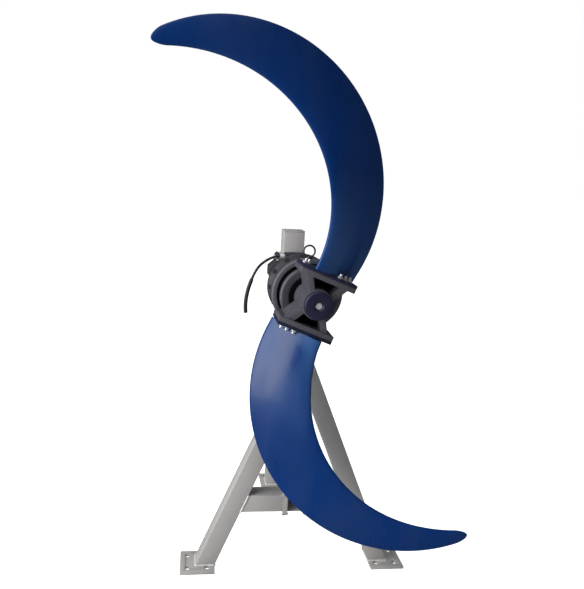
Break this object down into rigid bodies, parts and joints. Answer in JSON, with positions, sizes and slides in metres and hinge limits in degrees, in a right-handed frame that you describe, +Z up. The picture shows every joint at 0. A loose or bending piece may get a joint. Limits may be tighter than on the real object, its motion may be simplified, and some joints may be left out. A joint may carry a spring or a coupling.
{
  "type": "submersible flow booster mixer on a floor stand",
  "caption": "Slow two-blade submersible mixer: a geared motor with curved blades that slides on the square guide post of a bolted floor stand.",
  "frame": {"origin": "on the floor at the centre of the rear foot plate's anchor holes", "axes": "+Z up, the propeller faces -Y, its axis is parallel to Y at x = 0"},
  "size_m": [1.2602, 1.1935, 2.2703],
  "materials": {
    "stand_paint": "light grey paint, slightly worn",
    "black_cast_iron": "black coated casting",
    "blade_gelcoat": "glossy blue gel coat",
    "guide_polymer": "plain polymer",
    "cable_rubber": "black sheath",
    "seal_ring": "sealing rings",
    "copper_winding": "varnished wire",
    "gear_steel": "ground steel",
    "bright_steel": "stainless steel"
  },
  "bodies": {
    "stand": {"guide_post": "stand_paint", "post_cap": "stand_paint", "left_leg": "stand_paint", "right_leg": "stand_paint", "rear_strut": "stand_paint", "left_crossbar": "stand_paint", "right_crossbar": "stand_paint", "lower_spine": "stand_paint", "top_spine": "stand_paint", "rear_tie": "stand_paint", "left_foot_plate": "stand_paint", "right_foot_plate": "stand_paint", "rear_foot_plate": "stand_paint", "joint_flanges": "stand_paint", "lower_stop": "stand_paint", "joint_bolts": "bright_steel"},
    "carriage": {"slide_claw": "black_cast_iron", "slide_pads": "guide_polymer", "roller_pins": "bright_steel", "motor_housing": "black_cast_iron", "motor_end_cover": "black_cast_iron", "gear_housing": "black_cast_iron", "front_cover": "black_cast_iron", "terminal_box": "black_cast_iron", "terminal_box_lid": "black_cast_iron", "lid_bolts": "bright_steel", "cable_gland": "bright_steel", "cable": "cable_rubber", "cable_sleeve": "cable_rubber", "eye_bolt": "black_cast_iron", "housing_bolts": "black_cast_iron", "oil_plugs": "bright_steel", "stator_core": "gear_steel", "stator_windings": "copper_winding", "front_motor_bearing": "bright_steel", "rear_motor_bearing": "bright_steel", "stage1_ring_gear": "gear_steel", "stage2_ring_gear": "gear_steel", "front_shaft_bearing": "bright_steel", "rear_shaft_bearing": "bright_steel", "shaft_seal": "seal_ring"},
    "propeller": {"output_shaft": "bright_steel", "hub_spider": "black_cast_iron", "nose_cap": "black_cast_iron", "nose_bolt": "bright_steel", "upper_blade": "blade_gelcoat", "lower_blade": "blade_gelcoat", "blade_feet": "black_cast_iron", "blade_bolts": "bright_steel"},
    "motor_rotor": {"rotor_core": "gear_steel", "motor_shaft": "bright_steel"},
    "first_stage_carrier": {"stage1_carrier": "bright_steel"},
    "upper_guide_roller": {"upper_roller": "guide_polymer"},
    "lower_guide_roller": {"lower_roller": "guide_polymer"},
    "stage1_planet_a_gear": {"stage1_planet_a": "gear_steel"},
    "stage1_planet_b_gear": {"stage1_planet_b": "gear_steel"},
    "stage1_planet_c_gear": {"stage1_planet_c": "gear_steel"},
    "stage2_planet_a_gear": {"stage2_planet_a": "gear_steel"},
    "stage2_planet_b_gear": {"stage2_planet_b": "gear_steel"},
    "stage2_planet_c_gear": {"stage2_planet_c": "gear_steel"}
  },
  "joints": [
    {"name": "mixer_slide", "type": "slide", "parent": "stand", "child": "carriage", "axis": [0, 0, 1], "range_m": [0, 0.12]},
    {"name": "propeller_spin", "type": "hinge", "parent": "carriage", "child": "propeller", "pos_m": [0, -0.897, 1.275], "axis": [0, -1, 0], "continuous": true},
    {"name": "rotor_spin", "type": "hinge", "parent": "carriage", "child": "motor_rotor", "pos_m": [0, -0.897, 1.275], "axis": [0, -1, 0], "continuous": true},
    {"name": "first_stage_spin", "type": "hinge", "parent": "carriage", "child": "first_stage_carrier", "pos_m": [0, -0.897, 1.275], "axis": [0, -1, 0], "continuous": true},
    {"name": "upper_roller_spin", "type": "hinge", "parent": "carriage", "child": "upper_guide_roller", "pos_m": [0, -0.2167, 1.36], "axis": [1, 0, 0], "continuous": true},
    {"name": "lower_roller_spin", "type": "hinge", "parent": "carriage", "child": "lower_guide_roller", "pos_m": [0, -0.2167, 1.19], "axis": [1, 0, 0], "continuous": true},
    {"name": "stage1_planet_a_spin", "type": "hinge", "parent": "first_stage_carrier", "child": "stage1_planet_a_gear", "pos_m": [0.045, -0.542, 1.275], "axis": [0, -1, 0], "continuous": true},
    {"name": "stage1_planet_b_spin", "type": "hinge", "parent": "first_stage_carrier", "child": "stage1_planet_b_gear", "pos_m": [-0.0225, -0.542, 1.31397], "axis": [0, -1, 0], "continuous": true},
    {"name": "stage1_planet_c_spin", "type": "hinge", "parent": "first_stage_carrier", "child": "stage1_planet_c_gear", "pos_m": [-0.0225, -0.542, 1.23603], "axis": [0, -1, 0], "continuous": true},
    {"name": "stage2_planet_a_spin", "type": "hinge", "parent": "propeller", "child": "stage2_planet_a_gear", "pos_m": [0.05625, -0.584, 1.275], "axis": [0, -1, 0], "continuous": true},
    {"name": "stage2_planet_b_spin", "type": "hinge", "parent": "propeller", "child": "stage2_planet_b_gear", "pos_m": [-0.02813, -0.584, 1.32371], "axis": [0, -1, 0], "continuous": true},
    {"name": "stage2_planet_c_spin", "type": "hinge", "parent": "propeller", "child": "stage2_planet_c_gear", "pos_m": [-0.02813, -0.584, 1.22629], "axis": [0, -1, 0], "continuous": true}
  ],
  "couplings": [
    {"joint": "rotor_spin", "follows": "propeller_spin", "ratio": 36},
    {"joint": "first_stage_spin", "follows": "propeller_spin", "ratio": 6},
    {"joint": "upper_roller_spin", "follows": "mixer_slide", "rad_per_m": 35.714},
    {"joint": "lower_roller_spin", "follows": "mixer_slide", "rad_per_m": 35.714},
    {"joint": "stage1_planet_a_spin", "follows": "propeller_spin", "ratio": -15},
    {"joint": "stage1_planet_b_spin", "follows": "propeller_spin", "ratio": -15},
    {"joint": "stage1_planet_c_spin", "follows": "propeller_spin", "ratio": -15},
    {"joint": "stage2_planet_a_spin", "follows": "propeller_spin", "ratio": -2.5},
    {"joint": "stage2_planet_b_spin", "follows": "propeller_spin", "ratio": -2.5},
    {"joint": "stage2_planet_c_spin", "follows": "propeller_spin", "ratio": -2.5}
  ]
}
